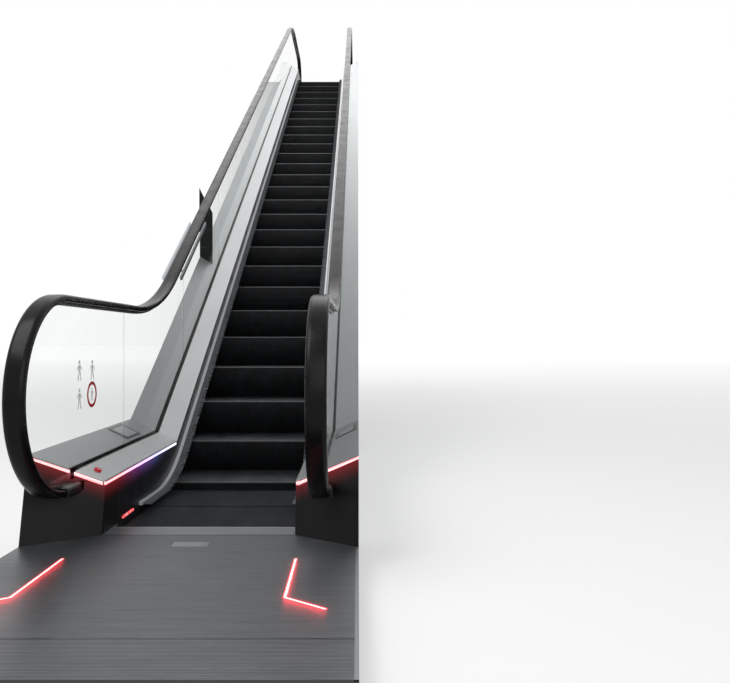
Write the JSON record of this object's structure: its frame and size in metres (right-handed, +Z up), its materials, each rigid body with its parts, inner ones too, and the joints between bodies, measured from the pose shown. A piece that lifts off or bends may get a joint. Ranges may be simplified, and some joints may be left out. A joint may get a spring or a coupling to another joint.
{
  "type": "escalator",
  "caption": "Indoor escalator flight with glass balustrades, black handrails, grooved steps between brush-lined skirts, lit newel housings and floor plates at both landings.",
  "frame": {"origin": "on the bearing face under the lower landing, at mid width, straight below the lower comb line", "axes": "+Y up the flight in plan, from the lower landing to the upper one; +Z up; X across the width"},
  "size_m": [1.34, 13.7828, 6.5361],
  "materials": {
    "floor_plate": "grooved, satin",
    "comb": "satin",
    "red_light": "lit diffuser",
    "dark_housing": "satin",
    "deck_silver": "brushed",
    "glass": "clear",
    "rail_black": "satin",
    "guide_steel": "satin",
    "inner_steel": "matt",
    "skirt_black": "low sheen",
    "brush": "bristled",
    "step_grey": "matt, grooved",
    "roller": "matt",
    "cladding_silver": "satin",
    "sign_black": "matt",
    "white_light": "lit diffuser",
    "button_red": "gloss"
  },
  "bodies": {
    "root": {"lower_base_frame": "inner_steel", "lower_access_cover": "floor_plate", "lower_floor_plate": "floor_plate", "lower_comb_plate": "floor_plate", "lower_combs": "comb", "floor_guide_lights": "red_light", "comb_lights": "red_light", "lower_newel_housing_left": "dark_housing", "lower_newel_housing_right": "dark_housing", "newel_light_left": "red_light", "newel_light_right": "red_light", "lower_deck_left": "deck_silver", "lower_deck_right": "deck_silver", "incline_deck_left": "deck_silver", "incline_deck_right": "deck_silver", "upper_deck_left": "deck_silver", "upper_deck_right": "deck_silver", "glass_left": "glass", "glass_right": "glass", "glass_clamp_left": "guide_steel", "glass_clamp_right": "guide_steel", "handrail_left": "rail_black", "handrail_right": "rail_black", "handrail_guide_left": "guide_steel", "handrail_guide_right": "guide_steel", "balustrade_brackets": "inner_steel", "handrail_return_rollers": "roller", "skirt_left": "skirt_black", "skirt_right": "skirt_black", "brush_carriers": "deck_silver", "skirt_brushes": "brush", "steps_lower": "step_grey", "steps_incline": "step_grey", "steps_upper": "step_grey", "step_rollers": "roller", "step_tracks": "inner_steel", "truss_left": "inner_steel", "truss_right": "inner_steel", "truss_cross_members": "inner_steel", "side_cladding_left": "cladding_silver", "side_cladding_right": "cladding_silver", "soffit_cladding": "cladding_silver", "upper_newel_housing_left": "dark_housing", "upper_newel_housing_right": "dark_housing", "upper_floor_plate": "floor_plate", "upper_access_cover": "floor_plate", "upper_comb_plate": "floor_plate", "upper_combs": "comb", "upper_bearing_frame": "inner_steel", "access_restriction_panel": "sign_black", "handrail_light_bars": "white_light", "stop_buttons": "button_red", "deck_sign_panels": "sign_black"}
  },
  "joints": []
}
